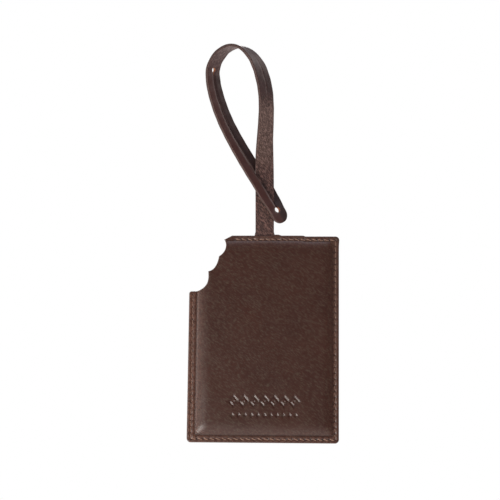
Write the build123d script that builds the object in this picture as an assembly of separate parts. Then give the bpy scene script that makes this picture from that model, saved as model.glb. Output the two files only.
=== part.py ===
from build123d import *
import os
from math import cos, radians, sin, sqrt

# A leather luggage tag on a slit strap. Millimetres, +Z up. The tag hangs with its front facing -Y.
# It is drawn in tag coordinates, X from the tag's middle and Z from its top edge, and then moved so
# that the origin is the inside of the strap loop's top, where a bag handle carries it.

# --- Driving dimensions -------------------------------------------------------------------------
panel_width = 75.0
panel_height = 103.0
corner_radius = 2.0

front_leather = 1.1
back_leather = 1.0
pocket_leather = 1.1
padding_thickness = 0.8
board_thickness = 0.9
layer_gap = 0.05            # glue line between layers that lie on each other

border_width = 4.4          # flat sewn border, from the edge to the foot of the raised panel
border_thickness = 1.5      # front leather, pressed with its turned reinforcement, at the border
shoulder_width = 1.2        # run of the slope between border and raised panel
notch_margin = 2.2          # leather left between the scalloped corner and what lies inside

card_width = 58.0
card_height = 68.0
card_thickness = 0.35
card_gap = 0.15             # clearance on each face of the card in its pocket
card_bottom_margin = 6.5    # from the tag's foot to the card
card_edge_gap = 0.5         # clearance round the card's edges
card_mouth_recess = 3.5     # how far the card sits inside the pocket's mouth

film_thickness = 0.25
film_overlap = 4.0          # film behind the leather round the window
window_border = 7.0         # leather between the card's edge and the window
window_corner = 3.0
mouth_setback = 7.0         # from the tag's side to the pocket's free edge
thumb_radius = 9.0
thumb_setback = 4.0         # from the pocket's free edge out to the thumb notch's centre

thread_width = 0.55
thread_height = 0.3
thread_seat = 0.02          # air between a stitch and the leather that it lies on
groove_side = 0.15          # clearance on each side of a thread that is sunk in a groove
groove_spare = 0.08         # how far a sunk thread stays below the leather's face
stitch_pitch = 3.0
stitch_length = 2.1
stitch_inset = 1.9          # seam line, from the tag's edge
window_stitch_inset = 2.0   # seam line, from the window's edge

strap_width = 9.2
strap_thickness = 1.6
strap_gap = 0.25            # air between the strap's two crossing stretches
tail_thickness = 0.8        # the sewn end is pared thinner
tail_depth = 15.0           # how far the pared end reaches into the tag
tail_clearance = 0.15
swing_height = 3.5          # the bend above the tag's top edge
swing_gap = 0.2             # clear space in the strap, over the round end that it bends about
slit_width = 0.5
top_hole_radius = 1.25
bottom_hole_radius = 1.5
tip_straight = 2.4          # strap beyond the bottom hole, before its round end

FRONT = -1                  # a surface that faces -Y
BACK = 1                    # a surface that faces +Y

# --- Planes of the stack, from the front (-Y) to the back (+Y) ------------------------------------
seat_y = 0.0
board_front_y = seat_y - layer_gap - board_thickness
padding_front_y = board_front_y - layer_gap - padding_thickness
plateau_inner_y = padding_front_y - layer_gap
plateau_y = plateau_inner_y - front_leather
border_y = seat_y - border_thickness
back_outer_y = seat_y + back_leather
card_front_y = back_outer_y + card_gap
film_inner_y = card_front_y + card_thickness + card_gap
pocket_inner_y = film_inner_y + film_thickness
pocket_outer_y = pocket_inner_y + pocket_leather

# --- The scalloped corner: three bites, as offsets from the tag's top left corner, X then Z ------------
notch_top_x = 21.5          # the straight top edge starts here
notch_points = [(17.5, -1.75), (14.8, -9.8), (9.5, -17.5), (4.2, -27.2)]
notch_bulges = [(18.5, -4.8), (13.9, -13.8), (9.3, -22.6)]
notch_foot_z = notch_points[-1][1]
seam_start_x = 21.0         # where the seam starts after the notch, from its own corner
seam_end_z = notch_foot_z - 1.8

# --- Places worked out from the sizes above --------------------------------------------------------
half_width = panel_width / 2
mouth_x = half_width - mouth_setback
card_right_x = mouth_x - card_mouth_recess
card_centre_x = card_right_x - card_width / 2
card_centre_z = -panel_height + card_bottom_margin + card_height / 2
window_width = card_width - 2 * window_border
window_height = card_height - 2 * window_border
lift = strap_thickness + strap_gap
groove_depth = thread_seat + thread_height + groove_spare

# --- The strap's route, chosen by hand --------------------------------------------------------------
# Neck and loop, from the bend above the tag over the top to the slit: X, Z, and how far the strap has
# turned about its own length, in degrees.
LOOP_ROUTE = [
    (0.2, 12.0, 0), (0.2, 22.0, 3), (0.1, 32.0, 10), (0.1, 40.0, 22), (0.3, 48.0, 34), (0.8, 57.0, 40),
    (1.0, 66.0, 43), (0.4, 74.0, 44), (-0.9, 80.0, 46), (-2.8, 85.5, 51), (-5.4, 89.8, 60),
    (-9.2, 93.4, 72), (-14.2, 95.2, 90), (-18.6, 94.0, 106), (-22.2, 91.0, 118), (-24.6, 87.2, 124),
]
# The slit stretch: X, Z, turn, and how far its left and right halves stand off the middle, counted in
# strap thicknesses with the gap. The left half passes in front of the neck and the right half behind.
SLIT_ROUTE = [
    (-25.7, 83.5, 129, 0.0, 0.0), (-25.4, 77.0, 133, 0.0, 0.0), (-23.4, 68.5, 136, 0.0, 0.0),
    (-19.7, 58.5, 138, -0.1, 0.0), (-14.7, 48.5, 141, -0.4, 0.1), (-10.1, 40.5, 145, -0.85, 0.3),
    (-5.5, 33.0, 149, -1.25, 0.7), (-2.0, 27.6, 153, -1.3, 1.1), (0.9, 22.8, 154, -1.2, 1.25),
    (3.2, 18.8, 151, -1.1, 1.3), (5.0, 15.8, 145, -0.95, 0.8), (6.2, 13.5, 141, -0.6, -0.6),
]
APEX_X = -14.2
APEX_INNER_Z = 95.2 - strap_thickness / 2


def place(shape):
    """Move a shape from tag coordinates to the part's own frame."""
    return Pos(-APEX_X, 0, -APEX_INNER_Z) * shape


def joined(shape, solids_expected=1):
    """One clean solid out of a boolean's result."""
    solids = list(shape.solids())
    if len(solids) != solids_expected:
        raise ValueError(f"expected {solids_expected} solid(s), got {len(solids)}")
    return solids[0] if solids_expected == 1 else Compound(children=solids)


def layer(face, y_front, y_back):
    """Extrude an XZ outline between two depths."""
    return extrude(face.moved(Location((0, y_back, 0))), amount=y_back - y_front, dir=(0, -1, 0))


def xz_face(sketch):
    """Turn a flat XY sketch into a face in the XZ plane, seen from the front."""
    return Plane.XZ.location * sketch


def rectangle(x_low, x_high, z_low, z_high, radius=0.0):
    """A rectangle in the XZ plane, with round corners if asked."""
    width = x_high - x_low
    height = z_high - z_low
    shape = RectangleRounded(width, height, radius) if radius > 0 else Rectangle(width, height)
    return xz_face(Pos((x_low + x_high) / 2, (z_low + z_high) / 2) * shape)


# --- The tag's outline -------------------------------------------------------------------------------
def notch_area(margin=0.0):
    """The scalloped corner, as an area to cut away, grown by a margin."""
    points = [(x - half_width, z) for x, z in notch_points]
    bulges = [(x - half_width, z) for x, z in notch_bulges]
    outside = 6.0
    top_x = notch_top_x - half_width
    far_x = -half_width - outside
    edges = [Line((top_x, outside), (top_x, 0)), Line((top_x, 0), points[0])]
    for start, bulge, end in zip(points, bulges, points[1:]):
        edges.append(ThreePointArc(start, bulge, end))
    edges.append(Line(points[-1], (far_x, notch_foot_z)))
    edges.append(Line((far_x, notch_foot_z), (far_x, outside)))
    edges.append(Line((far_x, outside), (top_x, outside)))
    area = make_face(edges)
    if margin > 0:
        area = offset(area, amount=margin, kind=Kind.ARC)
    return xz_face(area)


def outline(inset=0.0, radius=corner_radius, notch_grow=0.0):
    """The tag's outline, drawn in by an inset on its straight sides."""
    whole = rectangle(-half_width + inset, half_width - inset, -panel_height + inset, -inset, radius)
    return whole - notch_area(notch_grow)


def tail_channel():
    """The room that the pared strap end takes between the leathers."""
    half = strap_width / 2 + tail_clearance
    deep = tail_thickness / 2 + layer_gap
    return layer(rectangle(-half, half, -tail_depth - tail_clearance, 1), seat_y - deep, seat_y + deep)


# --- The tag's layers --------------------------------------------------------------------------------
def make_front_cover():
    """Front leather: a flat border, and a raised panel with a sloping shoulder, hollow behind."""
    flange = layer(outline(), border_y, seat_y)
    foot = outline(border_width, 2.0)
    rise = layer(foot, plateau_y, border_y + layer_gap)
    top_edges = rise.edges().filter_by_position(Axis.Y, plateau_y - 0.01, plateau_y + 0.01)
    straight = top_edges.filter_by(GeomType.LINE).filter_by(lambda edge: edge.length > 30)
    rise = chamfer(straight, min(shoulder_width, border_y - plateau_y) * 0.8)
    cavity_inset = border_width + front_leather
    cavity = layer(outline(cavity_inset, 1.5, notch_margin), plateau_inner_y, seat_y + 1)
    return joined(flange + rise - cavity - tail_channel())


def inner_outline():
    """What the foam and the board share: the hollow of the front leather with a little air."""
    return outline(border_width + front_leather + 0.15, 1.4, notch_margin + 0.15)


def make_padding():
    return joined(layer(inner_outline(), padding_front_y, board_front_y - layer_gap))


def make_stiffener_board():
    """The board, slotted at the top where the strap's end lies."""
    half = strap_width / 2 + 2 * tail_clearance
    slot = layer(rectangle(-half, half, -tail_depth - 2 * tail_clearance, 1), board_front_y - 1, seat_y + 1)
    return joined(layer(inner_outline(), board_front_y, seat_y - layer_gap) - slot)


def seam_grooves():
    """Grooves behind the pocket's mouth, where the card slides over the border seam."""
    half = thread_width / 2 + groove_side
    _, right, top, bottom = seam_corners()
    floor_y = back_outer_y - groove_depth
    above = back_outer_y + 1
    upright = layer(rectangle(right - half, right + half, bottom - half, top + half), floor_y, above)
    across_top = layer(rectangle(mouth_x, right, top - half, top + half), floor_y, above)
    across_foot = layer(rectangle(mouth_x, right, bottom - half, bottom + half), floor_y, above)
    return upright + across_top + across_foot


def make_back_cover():
    """Flat leather behind the board, grooved where the card slides over its seam."""
    return joined(layer(outline(), seat_y, back_outer_y) - tail_channel() - seam_grooves())


def card_room():
    """The hollow of the pocket, open towards +X."""
    return layer(
        rectangle(
            card_centre_x - card_width / 2 - card_edge_gap,
            half_width + 10,
            card_centre_z - card_height / 2 - card_edge_gap,
            card_centre_z + card_height / 2 + card_edge_gap,
        ),
        back_outer_y - 1,
        pocket_inner_y,
    )


def window_area(grow=0.0):
    """The window, seen from the front, grown on all sides."""
    half_w = window_width / 2 + grow
    half_h = window_height / 2 + grow
    return rectangle(
        card_centre_x - half_w, card_centre_x + half_w,
        card_centre_z - half_h, card_centre_z + half_h,
        window_corner,
    )


def make_pocket_panel():
    """Back leather: sewn on three sides, free towards +X, with a window and a thumb notch."""
    sheet = layer(
        rectangle(-half_width, mouth_x, -panel_height, 0, corner_radius) - notch_area(),
        back_outer_y, pocket_outer_y,
    )
    window = layer(window_area(), back_outer_y, pocket_outer_y + 1)
    thumb = layer(
        xz_face(Pos(mouth_x + thumb_setback, card_centre_z) * Circle(thumb_radius)),
        back_outer_y - 1, pocket_outer_y + 1,
    )
    return joined(sheet - card_room() - window - thumb)


def make_window_film():
    return joined(layer(window_area(film_overlap), film_inner_y, pocket_inner_y))


def make_address_card():
    half_w = card_width / 2
    half_h = card_height / 2
    blank = rectangle(
        card_centre_x - half_w, card_centre_x + half_w,
        card_centre_z - half_h, card_centre_z + half_h,
        1.5,
    )
    return joined(layer(blank, card_front_y, card_front_y + card_thickness))


# --- Threads -------------------------------------------------------------------------------------------
def stitches(start, end, surface_y, facing):
    """Separate stitches in a straight row between two points, lying on a front or back surface."""
    run_x = end[0] - start[0]
    run_z = end[1] - start[1]
    length = sqrt(run_x ** 2 + run_z ** 2)
    count = int(length / stitch_pitch)
    upright = abs(run_z) > abs(run_x)
    size_x, size_z = (thread_width, stitch_length) if upright else (stitch_length, thread_width)
    bars = []
    for i in range(count):
        share = (i + 0.5) / count
        depth = surface_y + facing * (thread_seat + thread_height / 2)
        middle = Pos(start[0] + run_x * share, depth, start[1] + run_z * share)
        bars.append(middle * Box(size_x, thread_height, size_z))
    return bars


def seam_corners():
    """The corners of the border seam."""
    left = -half_width + stitch_inset
    right = half_width - stitch_inset
    top = -stitch_inset
    bottom = -panel_height + stitch_inset
    return left, right, top, bottom


def make_edge_stitching_front():
    left, right, top, bottom = seam_corners()
    bars = stitches((left + seam_start_x, top), (right, top), border_y, FRONT)
    bars += stitches((right, top), (right, bottom), border_y, FRONT)
    bars += stitches((right, bottom), (left, bottom), border_y, FRONT)
    bars += stitches((left, bottom), (left, seam_end_z), border_y, FRONT)
    return Compound(children=bars)


def make_edge_stitching_back():
    left, right, top, bottom = seam_corners()
    bars = stitches((left + seam_start_x, top), (mouth_x, top), pocket_outer_y, BACK)
    sunk_y = back_outer_y - groove_depth
    bars += stitches((mouth_x + groove_side, top), (right, top), sunk_y, BACK)
    bars += stitches((right, top), (right, bottom), sunk_y, BACK)
    bars += stitches((right, bottom), (mouth_x + groove_side, bottom), sunk_y, BACK)
    bars += stitches((mouth_x, bottom), (left, bottom), pocket_outer_y, BACK)
    bars += stitches((left, bottom), (left, seam_end_z), pocket_outer_y, BACK)
    return Compound(children=bars)


def make_window_stitching():
    half_w = window_width / 2 + window_stitch_inset
    half_h = window_height / 2 + window_stitch_inset
    left = card_centre_x - half_w
    right = card_centre_x + half_w
    low = card_centre_z - half_h
    high = card_centre_z + half_h
    bars = stitches((left, high), (right, high), pocket_outer_y, BACK)
    bars += stitches((right, high), (right, low), pocket_outer_y, BACK)
    bars += stitches((right, low), (left, low), pocket_outer_y, BACK)
    bars += stitches((left, low), (left, high), pocket_outer_y, BACK)
    return Compound(children=bars)


# --- The strap ---------------------------------------------------------------------------------------
def travel_directions(points):
    """The way the strap runs at each point of its route, in the XZ plane."""
    directions = []
    for i in range(len(points)):
        before = points[max(i - 1, 0)]
        after = points[min(i + 1, len(points) - 1)]
        directions.append(Vector(after[0] - before[0], 0, after[1] - before[1]).normalized())
    return directions


def across_direction(along, turn):
    """The strap's width direction, once it has turned about its own length."""
    flat = Vector(along.Z, 0, -along.X)
    return flat * cos(radians(turn)) + Vector(0, 1, 0) * sin(radians(turn))


def section(centre, along, across, width):
    """The strap's cross-section at one point."""
    plane = Plane(origin=centre, x_dir=across, z_dir=along)
    return plane * Rectangle(width, strap_thickness)


def make_strap_loop():
    """The whole strap above its bend: neck, loop, slit stretch and round tip, as one solid."""
    route = [point[:2] for point in LOOP_ROUTE] + [point[:2] for point in SLIT_ROUTE]
    turns = [point[2] for point in LOOP_ROUTE] + [point[2] for point in SLIT_ROUTE]
    directions = travel_directions(route)
    first_slit = len(LOOP_ROUTE)
    foot = Vector(LOOP_ROUTE[0][0], 0, swing_height + strap_thickness / 2 + swing_gap)
    up = Vector(0, 0, 1)
    full = [section(foot, up, Vector(1, 0, 0), strap_width)]
    for i in range(first_slit + 1):
        centre = Vector(route[i][0], 0, route[i][1])
        full.append(section(centre, directions[i], across_direction(directions[i], turns[i]), strap_width))
    neck_and_loop = loft(full, ruled=True)
    half_band = (strap_width - slit_width) / 2
    halves = []
    for side in (-1, 1):
        parts = []
        for i, (x, z, turn, left_step, right_step) in enumerate(SLIT_ROUTE):
            along = directions[first_slit + i]
            across = across_direction(along, turn)
            step = left_step if side < 0 else right_step
            middle = Vector(x, step * lift, z) + across * (side * (half_band + slit_width) / 2)
            parts.append(section(middle, along, across, half_band))
        halves.append(loft(parts, ruled=True))
    top = (Vector(route[first_slit][0], 0, route[first_slit][1]), directions[first_slit], turns[first_slit])
    end_x, end_z, end_turn, end_step, _ = SLIT_ROUTE[-1]
    bottom = (Vector(end_x, end_step * lift, end_z), directions[-1], end_turn)
    strap = neck_and_loop + halves[0] + halves[1] + strap_tip(*bottom)
    strap = strap - punched_hole(*top, top_hole_radius) - punched_hole(*bottom, bottom_hole_radius)
    return joined(strap)


def strap_plane(centre, along, turn):
    """The strap's own plane at one point: x across the strap, y along it."""
    across = across_direction(along, turn)
    return Plane(origin=centre, x_dir=across, z_dir=across.cross(along))


def strap_tip(centre, along, turn):
    """The round end of the strap, beyond the bottom hole."""
    radius = strap_width / 2
    blank = Pos(0, tip_straight / 2) * Rectangle(strap_width, tip_straight)
    blank = blank + Pos(0, tip_straight) * Circle(radius)
    blank = blank - Pos(0, -radius) * Rectangle(4 * radius, 2 * radius)
    flat = extrude(blank, amount=strap_thickness / 2, both=True)
    return strap_plane(centre, along, turn).location * flat


def punched_hole(centre, along, turn, radius):
    """A round hole through the strap."""
    return strap_plane(centre, along, turn).location * Cylinder(radius, 6 * strap_thickness)


def make_strap_tail():
    """The strap below its bend: round at the bend, full thickness to the tag, then pared for the seam."""
    half = strap_width / 2
    neck_x = LOOP_ROUTE[0][0]
    stem = layer(
        rectangle(neck_x - half, neck_x + half, layer_gap * 2, swing_height),
        -strap_thickness / 2, strap_thickness / 2,
    )
    bend = Pos(neck_x, 0, swing_height) * Rot(0, 90, 0) * Cylinder(strap_thickness / 2, strap_width)
    pared = layer(rectangle(-half, half, -tail_depth, 1.0), -tail_thickness / 2, tail_thickness / 2)
    return joined(stem + bend + pared)


# --- Output ------------------------------------------------------------------------------------------
PARTS = {
    "strap_loop": make_strap_loop,
    "strap_tail": make_strap_tail,
    "front_cover": make_front_cover,
    "padding": make_padding,
    "stiffener_board": make_stiffener_board,
    "back_cover": make_back_cover,
    "pocket_panel": make_pocket_panel,
    "window_film": make_window_film,
    "address_card": make_address_card,
    "edge_stitching_front": make_edge_stitching_front,
    "edge_stitching_back": make_edge_stitching_back,
    "window_stitching": make_window_stitching,
}

os.makedirs("parts", exist_ok=True)
for name, make in PARTS.items():
    export_step(place(make()), f"parts/{name}.step")
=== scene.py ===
from math import cos, pi, radians, sin

import bpy
import numpy as np
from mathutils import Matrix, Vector
from mathutils.geometry import delaunay_2d_cdt


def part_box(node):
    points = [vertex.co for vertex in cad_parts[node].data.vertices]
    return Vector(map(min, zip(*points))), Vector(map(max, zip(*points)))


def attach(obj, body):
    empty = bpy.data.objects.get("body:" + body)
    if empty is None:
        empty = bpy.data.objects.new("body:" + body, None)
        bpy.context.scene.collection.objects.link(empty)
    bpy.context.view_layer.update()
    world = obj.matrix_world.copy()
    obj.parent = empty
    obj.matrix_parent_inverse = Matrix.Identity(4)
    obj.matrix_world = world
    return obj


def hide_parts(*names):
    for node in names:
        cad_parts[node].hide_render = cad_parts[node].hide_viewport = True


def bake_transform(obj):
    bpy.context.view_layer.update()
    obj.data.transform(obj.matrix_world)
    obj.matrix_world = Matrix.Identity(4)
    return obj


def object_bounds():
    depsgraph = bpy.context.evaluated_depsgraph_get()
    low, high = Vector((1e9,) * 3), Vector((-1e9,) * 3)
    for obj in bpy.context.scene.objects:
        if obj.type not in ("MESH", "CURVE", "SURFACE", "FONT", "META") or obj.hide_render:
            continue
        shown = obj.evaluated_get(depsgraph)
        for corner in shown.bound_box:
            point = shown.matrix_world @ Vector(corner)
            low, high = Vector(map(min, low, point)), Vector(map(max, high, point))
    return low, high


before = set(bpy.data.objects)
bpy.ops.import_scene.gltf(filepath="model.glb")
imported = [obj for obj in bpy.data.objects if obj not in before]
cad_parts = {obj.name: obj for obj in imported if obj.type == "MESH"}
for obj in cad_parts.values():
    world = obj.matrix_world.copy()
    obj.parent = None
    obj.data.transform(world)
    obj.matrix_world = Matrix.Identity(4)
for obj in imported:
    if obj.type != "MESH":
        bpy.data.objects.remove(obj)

CAD_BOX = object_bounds()
MM = 0.001
SEED = 7

# --------------------------------------
# Places, read from the frame. Tag coordinates are millimetres: x from the tag's middle, z from its top
# edge, y from the seam plane between the leathers (front is -y).
# --------------------------------------
cover_low, cover_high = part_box("back_cover")
TAG_WIDTH = (cover_high.x - cover_low.x) / MM
TAG_HEIGHT = (cover_high.z - cover_low.z) / MM
HALF_WIDTH = TAG_WIDTH / 2
TAG_X = (cover_high.x + cover_low.x) / 2 / MM
TAG_TOP = cover_high.z / MM
SEAT_Y = cover_low.y / MM
BACK_Y = cover_high.y / MM
PLATEAU_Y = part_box("front_cover")[0].y / MM
THREAD_SINK = 0.02  # how far the stitches sink into the leather
BORDER_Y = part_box("edge_stitching_front")[1].y / MM + THREAD_SINK
POCKET_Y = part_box("pocket_panel")[1].y / MM
MOUTH_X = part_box("pocket_panel")[1].x / MM - TAG_X
FILM_OUT_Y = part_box("window_film")[1].y / MM
CARD_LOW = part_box("address_card")[0] / MM
CARD_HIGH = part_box("address_card")[1] / MM
FOAM_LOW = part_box("padding")[0] / MM
FOAM_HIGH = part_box("padding")[1] / MM

# --------------------------------------
# Sizes of what is made here, in millimetres
# --------------------------------------
CORNER_RADIUS = 2.0
FRONT_LEATHER = 1.1
SEAM_INSET = 1.9
GROOVE_REACH = 0.8
STITCH_PITCH = 3.0
STITCH_LENGTH = 2.15
THREAD_WIDTH = 0.48
SEAM_START_X = 21.0
SEAM_END_Z = -29.5
WINDOW_BORDER = 7.0
WINDOW_CORNER = 3.0
WINDOW_SEAM_INSET = 2.0
THUMB_RADIUS = 9.0
THUMB_SETBACK = 4.0
POCKET_STEP = 0.75  # how far the pocket stands out over the card

# Width of the flat border and of the soft slope that rises from it.
BORDER = {"left": 4.0, "right": 2.9, "top": 2.7, "foot": 4.0}
SLOPE = {"left": 7.4, "right": 5.6, "top": 7.2, "foot": 7.4}

# The scalloped corner, from the tag's top left corner: the cusps, and the two handles of each bite.
BITE_TOP = (21.5, 0.0)
BITE_CUSPS = [(17.5, -2.0), (14.9, -10.25), (9.55, -17.7), (3.7, -27.75)]
BITE_HANDLES = [
    ((19.2, -4.2), (18.6, -8.0)), ((14.3, -13.6), (13.0, -17.0)), ((9.9, -22.0), (9.6, -25.6)),
]
BELOW_BITES = 1.2  # radius of the corner under the lowest bite

STRAP_WIDTH = 9.2
STRAP_THICKNESS = 1.6
STRAP_LIFT = 1.85  # a strap's thickness and a little air
SLIT_WIDTH = 0.45
TOP_HOLE_RADIUS = 1.25
FOOT_HOLE_RADIUS = 1.5
TIP_STRAIGHT = 2.4
TAIL_DEPTH = 14.8  # how far the strap's skived end reaches into the tag
TAIL_THICKNESS = 0.8

# The strap's route: x, z, and its turn about its own length in degrees.
LOOP_ROUTE = [
    (0.2, -14.8, 0), (0.2, -6.0, 0), (0.2, 4.0, 0), (0.2, 12.0, 0), (0.2, 22.0, 3), (0.1, 32.0, 10),
    (0.1, 40.0, 22), (0.3, 48.0, 34), (0.8, 57.0, 40), (1.0, 66.0, 43), (0.4, 74.0, 44),
    (-0.9, 80.0, 46), (-2.8, 85.5, 51), (-5.4, 89.8, 60), (-9.2, 93.4, 72), (-14.2, 95.2, 90),
    (-18.6, 94.0, 106), (-22.2, 91.0, 118), (-24.6, 87.2, 124),
]
# The slit stretch: x, z, turn, and how far its left and right halves stand off, in shares of STRAP_LIFT.
SLIT_ROUTE = [
    (-25.7, 83.5, 129, 0.0, 0.0), (-25.4, 77.0, 133, 0.0, 0.0), (-23.4, 68.5, 136, 0.0, 0.0),
    (-19.7, 58.5, 138, -0.1, 0.0), (-14.7, 48.5, 141, -0.4, 0.1), (-10.1, 40.5, 145, -0.85, 0.3),
    (-5.5, 33.0, 149, -1.25, 0.7), (-2.0, 27.6, 153, -1.3, 1.1), (0.9, 22.8, 154, -1.2, 1.25),
    (3.2, 18.8, 151, -1.1, 1.3), (5.0, 15.8, 145, -0.95, 0.8), (6.2, 13.5, 141, -0.6, -0.6),
]


# --------------------------------------
# Colours and node trees
# --------------------------------------
ATTRIBUTE = "ShaderNodeAttribute"
BUMP = "ShaderNodeBump"
MATH = "ShaderNodeMath"
NOISE = "ShaderNodeTexNoise"
RAMP = "ShaderNodeValToRGB"
RANGE = "ShaderNodeMapRange"


def srgb(code, alpha=1.0):
    """An sRGB hex colour as linear values."""
    parts = [int(code[i:i + 2], 16) / 255 for i in (1, 3, 5)]
    return [c / 12.92 if c <= 0.04045 else ((c + 0.055) / 1.055) ** 2.4 for c in parts] + [alpha]


def feed(tree, made, inputs):
    """Links a node's inputs or sets their values, by name or in order. A hex colour is made linear."""
    for key, value in inputs.items() if isinstance(inputs, dict) else enumerate(inputs):
        if isinstance(value, bpy.types.NodeSocket):
            tree.links.new(value, made.inputs[key])
        elif isinstance(value, str) and value.startswith("#"):
            made.inputs[key].default_value = srgb(value)
        else:
            made.inputs[key].default_value = value


def add(tree, kind, inputs=(), out=0, stops=(), **settings):
    """Adds a node with its settings, its inputs and its colour stops, and gives back one output."""
    made = tree.nodes.new(kind)
    for key, value in settings.items():
        setattr(made, key, value)
    feed(tree, made, inputs)
    for i, (position, code) in enumerate(stops):
        elements = made.color_ramp.elements
        if i == 0:
            elements.remove(elements[-1])
        stop = elements[0] if i == 0 else elements.new(position)
        stop.position, stop.color = position, srgb(code)
    return made.outputs[out] if made.outputs else made


def new_material(name):
    """An empty material with its output and principled shader."""
    material = bpy.data.materials.new(name)
    material.use_nodes = True
    tree = material.node_tree
    tree.nodes.clear()
    shader = add(tree, "ShaderNodeBsdfPrincipled")
    add(tree, "ShaderNodeOutputMaterial", {"Surface": shader})
    return material, tree, shader.node


def object_place(tree, turn=0.0, stretch=(1, 1, 1)):
    """Object coordinates in millimetres, turned about y and then stretched."""
    where = add(tree, "ShaderNodeTexCoord", out="Object")
    turned = add(tree, "ShaderNodeMapping", {"Vector": where, "Rotation": (0, radians(turn), 0)})
    return add(tree, "ShaderNodeMapping", {"Vector": turned, "Scale": tuple(s / MM for s in stretch)})


def lay_over(tree, colour, *layers):
    """Lays tints over a colour. Each layer is its amount, or the name of a painted one, and its tint."""
    for amount, tint in layers:
        if isinstance(amount, str):
            amount = add(tree, ATTRIBUTE, out="Fac", attribute_name=amount)
        colour = add(tree, "ShaderNodeMix", {0: amount, 6: colour, 7: tint}, 2, data_type="RGBA")
    return colour


def weighted_sum(tree, *terms):
    """Adds up values, each with its weight."""
    total = 0.0
    for value, weight in terms:
        total = add(tree, MATH, (value, weight, total), operation="MULTIPLY_ADD")
    return total


# --------------------------------------
# Materials. A pattern's scale is how often it repeats in a millimetre; relief is in millimetres.
# --------------------------------------
def aniline_calf_leather():
    """Aniline-dyed calf, lightly waxed: an even dark brown, fine pebbled pores, hair-thin slanting
    creases pulled over the padding, and a quiet sheen that brightens on the sloping shoulders."""
    material, tree, shader = new_material("aniline_calf_leather")
    flat = object_place(tree)
    clouds, mottle, rubbing = (
        add(tree, NOISE, {"Vector": flat, "Scale": scale, "Detail": detail, "Roughness": 0.55})
        for scale, detail in ((0.05, 2.0), (0.6, 5.0), (1.1, 5.0)))
    # The creases are drawn about 0.4 mm wide and four times as long, which is as fine as shows.
    creases = add(tree, NOISE, {"Vector": object_place(tree, -37, (0.22, 0.6, 1.0)), "Scale": 2.7,
                                "Detail": 4.0, "Roughness": 0.6})
    pores = add(tree, "ShaderNodeTexVoronoi", {"Vector": flat, "Scale": 1.35})
    base = add(tree, RAMP, {"Fac": clouds}, stops=((0.32, "#3E2018"), (0.68, "#46261C")))
    spots = add(tree, RAMP, {"Fac": mottle}, stops=((0.35, "#3C2019"), (0.65, "#44281F")))
    lit_creases = add(tree, RANGE, (creases, 0.49, 0.64, 0.0, 0.72))
    # The flat border is paler in rubbed patches all round, and more so towards its left side, where the extra
    # paleness is painted light.
    border = add(tree, ATTRIBUTE, out="Fac", attribute_name="border_wear_and_left_light")
    rubbed_and_lit_border = add(tree, MATH, (add(tree, RANGE, (rubbing, 0.42, 0.6, 0.1, 1.0)), border), operation="MULTIPLY")
    # Needle holes and the crease at the foot of the slope are darkened: painted shade in the hollows.
    colour = lay_over(
        tree, base, (0.4, spots), (lit_creases, "#584A3E"), (rubbed_and_lit_border, "#6E4A3C"), ("tooled", "#24120E"),
        # Cut edges and the bulges between needle holes are paler: partly wear, partly a painted highlight.
        ("painted_recess_shade", "#150B09"), ("edge_wear_and_highlight", "#7A584A"))
    height = weighted_sum(tree, (creases, 1.0), (pores, 0.5), (mottle, 0.3))
    feed(tree, shader, {
        "Base Color": colour, "Roughness": add(tree, RANGE, (mottle, 0.3, 0.7, 0.28, 0.35)),
        "Normal": add(tree, BUMP, {"Height": height, "Distance": 0.018 * MM})})
    return material


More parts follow.
